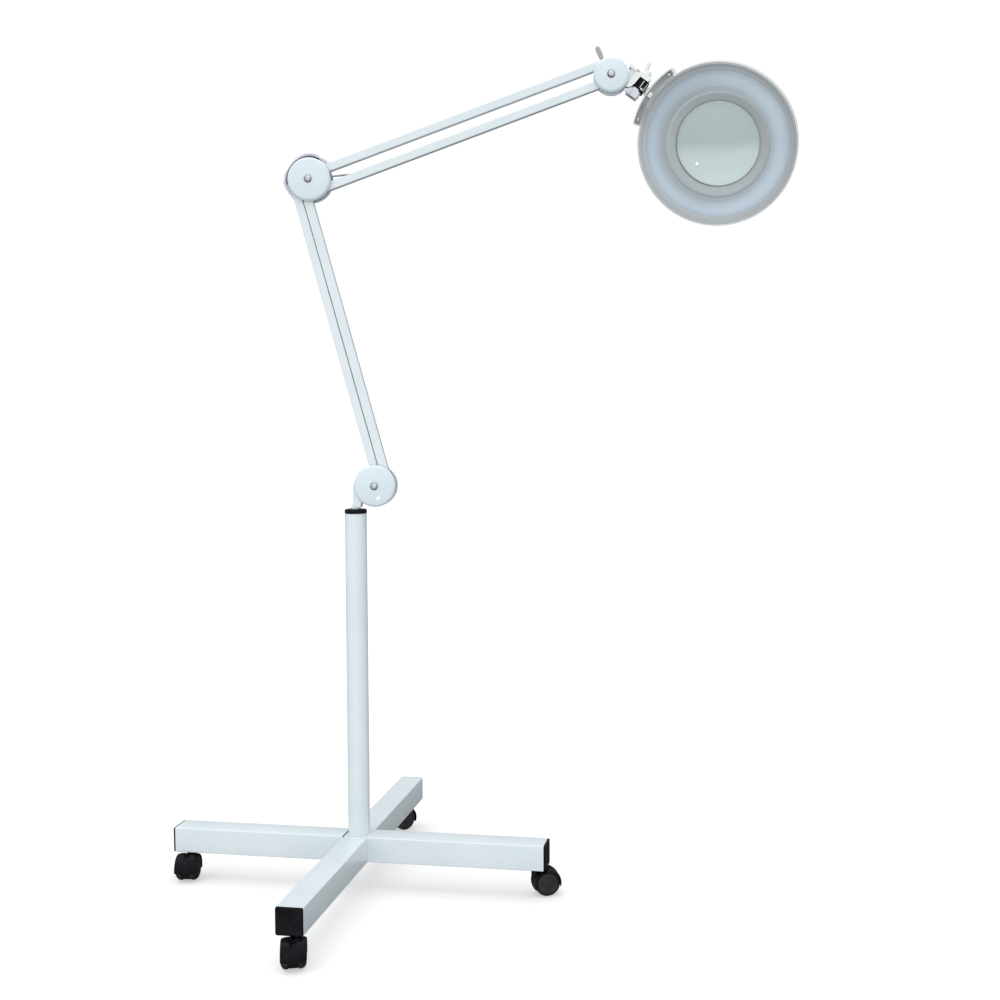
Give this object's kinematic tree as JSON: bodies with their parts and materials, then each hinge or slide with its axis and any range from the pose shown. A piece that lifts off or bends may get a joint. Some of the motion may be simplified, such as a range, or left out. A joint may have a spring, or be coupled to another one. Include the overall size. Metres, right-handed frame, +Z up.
{
  "type": "magnifying lamp",
  "caption": "Floor-standing magnifying lamp: rolling cross base on casters, upright post, jointed parallel-link arms and a round ring-lit head with a glass lens.",
  "frame": {"origin": "where the post axis meets the flat underside of the cross; the floor under the casters is 42.3 mm lower", "axes": "+Z up along the post; +X along the right-hand beam; +Y along the back end of the long through beam. The arms hang in a vertical plane panned 8 degrees from +X towards +Y"},
  "size_m": [0.9399, 0.6028, 1.2582],
  "materials": {
    "white_paint": "gloss white powder coat, smooth",
    "white_plastic": "glossy white moulding",
    "grey_plastic": "satin pale grey moulding",
    "black_plastic": "satin black nylon",
    "steel": "bright zinc-plated steel",
    "diffuser": "frosted acrylic",
    "circuit": "white solder mask",
    "lens_glass": "clear polished crown glass",
    "cable_white": "smooth white PVC sheath"
  },
  "bodies": {
    "base": {"beam_through": "white_paint", "beam_right": "white_paint", "beam_left": "white_paint", "end_cap_right": "black_plastic", "end_cap_back": "black_plastic", "end_cap_left": "black_plastic", "end_cap_front": "black_plastic", "caster_stem_right": "steel", "caster_stem_back": "steel", "caster_stem_left": "steel", "caster_stem_front": "steel", "post": "white_paint", "post_collar": "black_plastic"},
    "arm_base": {"arm_bracket": "white_paint", "base_disc_front": "white_plastic", "base_disc_rear": "white_plastic", "base_bolt": "steel", "cord_grommet": "black_plastic"},
    "lower_arm": {"lower_link_outer": "white_paint"},
    "lower_tie": {"lower_link_inner": "white_paint", "lower_spring": "steel"},
    "elbow": {"elbow_bracket": "white_paint", "elbow_disc_front": "white_plastic", "elbow_disc_rear": "white_plastic", "elbow_bolt": "steel", "elbow_cable": "cable_white"},
    "upper_arm": {"upper_link_top": "white_paint"},
    "upper_tie": {"upper_link_bottom": "white_paint", "upper_spring": "steel"},
    "end_joint": {"end_bracket": "white_paint", "end_disc_front": "white_plastic", "end_disc_rear": "white_plastic", "end_bolt": "steel"},
    "lever": {"tilt_lever": "grey_plastic"},
    "knuckle": {"knuckle_fork": "white_plastic", "swing_bolt": "steel"},
    "nut": {"wing_nut": "white_plastic"},
    "swivel": {"swivel_block": "black_plastic"},
    "head": {"head_housing": "white_plastic", "head_bezel": "grey_plastic", "diffuser": "diffuser", "inner_collar": "grey_plastic", "led_board": "circuit", "lens": "lens_glass", "head_bracket": "white_plastic", "bracket_screw_upper": "steel", "bracket_screw_lower": "steel"},
    "switch": {"power_switch": "black_plastic"},
    "caster_right": {"caster_hood_right": "black_plastic"},
    "wheels_right": {"wheel_near_right": "black_plastic", "wheel_far_right": "black_plastic"},
    "caster_back": {"caster_hood_back": "black_plastic"},
    "wheels_back": {"wheel_near_back": "black_plastic", "wheel_far_back": "black_plastic"},
    "caster_left": {"caster_hood_left": "black_plastic"},
    "wheels_left": {"wheel_near_left": "black_plastic", "wheel_far_left": "black_plastic"},
    "caster_front": {"caster_hood_front": "black_plastic"},
    "wheels_front": {"wheel_near_front": "black_plastic", "wheel_far_front": "black_plastic"}
  },
  "joints": [
    {"name": "arm_pan", "type": "hinge", "parent": "base", "child": "arm_base", "pos_m": [0, 0, 0.5], "axis": [0, 0, 1], "continuous": true},
    {"name": "lower_arm_swing", "type": "hinge", "parent": "arm_base", "child": "lower_arm", "pos_m": [0.03218, 0.00452, 0.5774], "axis": [0.1392, -0.9903, 0], "range_deg": [-70, 2]},
    {"name": "lower_tie_swing", "type": "hinge", "parent": "arm_base", "child": "lower_tie", "pos_m": [0.05161, 0.00725, 0.55973], "axis": [0.1392, -0.9903, 0], "range_deg": [-70, 2]},
    {"name": "elbow_level", "type": "hinge", "parent": "lower_arm", "child": "elbow", "pos_m": [-0.08465, -0.0119, 1.01166], "axis": [0.1392, -0.9903, 0], "range_deg": [-2, 70]},
    {"name": "upper_arm_swing", "type": "hinge", "parent": "elbow", "child": "upper_arm", "pos_m": [-0.05267, -0.0074, 1.02736], "axis": [0.1392, -0.9903, 0], "range_deg": [-55, 20]},
    {"name": "upper_tie_swing", "type": "hinge", "parent": "elbow", "child": "upper_tie", "pos_m": [-0.05267, -0.0074, 0.99986], "axis": [0.1392, -0.9903, 0], "range_deg": [-55, 20]},
    {"name": "end_level", "type": "hinge", "parent": "upper_arm", "child": "end_joint", "pos_m": [0.36528, 0.05134, 1.18348], "axis": [0.1392, -0.9903, 0], "range_deg": [-20, 55]},
    {"name": "lever_turn", "type": "hinge", "parent": "end_joint", "child": "lever", "pos_m": [0.37696, 0.05298, 1.16588], "axis": [0.1392, -0.9903, 0], "range_deg": [-90, 30]},
    {"name": "head_tilt", "type": "hinge", "parent": "end_joint", "child": "knuckle", "pos_m": [0.37696, 0.05298, 1.16588], "axis": [0.1392, -0.9903, 0], "range_deg": [-45, 60]},
    {"name": "wing_nut_turn", "type": "hinge", "parent": "knuckle", "child": "nut", "pos_m": [0.41709, 0.05862, 1.15294], "axis": [0.5751, 0.0808, 0.8141], "continuous": true},
    {"name": "head_swing", "type": "hinge", "parent": "knuckle", "child": "swivel", "pos_m": [0.41709, 0.05862, 1.15294], "axis": [0.5751, 0.0808, 0.8141], "range_deg": [-60, 60]},
    {"name": "head_roll", "type": "hinge", "parent": "swivel", "child": "head", "pos_m": [0.53157, 0.08229, 1.06973], "axis": [0.7978, 0.165, -0.5799], "range_deg": [-110, 70]},
    {"name": "switch_rock", "type": "hinge", "parent": "head", "child": "switch", "pos_m": [0.45787, 0.08464, 1.12937], "axis": [0.7978, 0.165, -0.5799], "range_deg": [-12, 0]},
    {"name": "caster_swivel_right", "type": "hinge", "parent": "base", "child": "caster_right", "pos_m": [0.271, 0, 0], "axis": [0, 0, 1], "continuous": true},
    {"name": "wheel_roll_right", "type": "hinge", "parent": "caster_right", "child": "wheels_right", "pos_m": [0.28653, 0.00692, -0.0233], "axis": [-0.4067, 0.9135, 0], "continuous": true},
    {"name": "caster_swivel_back", "type": "hinge", "parent": "base", "child": "caster_back", "pos_m": [0, 0.271, 0], "axis": [0, 0, 1], "continuous": true},
    {"name": "wheel_roll_back", "type": "hinge", "parent": "caster_back", "child": "wheels_back", "pos_m": [-0.00926, 0.25674, -0.0233], "axis": [0.8387, -0.5446, 0], "continuous": true},
    {"name": "caster_swivel_left", "type": "hinge", "parent": "base", "child": "caster_left", "pos_m": [-0.271, 0, 0], "axis": [0, 0, 1], "continuous": true},
    {"name": "wheel_roll_left", "type": "hinge", "parent": "caster_left", "child": "wheels_left", "pos_m": [-0.26805, -0.01674, -0.0233], "axis": [0.9848, 0.1736, 0], "continuous": true},
    {"name": "caster_swivel_front", "type": "hinge", "parent": "base", "child": "caster_front", "pos_m": [0, -0.271, 0], "axis": [0, 0, 1], "continuous": true},
    {"name": "wheel_roll_front", "type": "hinge", "parent": "caster_front", "child": "wheels_front", "pos_m": [0.00525, -0.28717, -0.0233], "axis": [0.9511, 0.309, 0], "continuous": true}
  ],
  "couplings": [
    {"joint": "lower_tie_swing", "follows": "lower_arm_swing", "ratio": 1},
    {"joint": "elbow_level", "follows": "lower_arm_swing", "ratio": -1},
    {"joint": "upper_tie_swing", "follows": "upper_arm_swing", "ratio": 1},
    {"joint": "end_level", "follows": "upper_arm_swing", "ratio": -1}
  ]
}
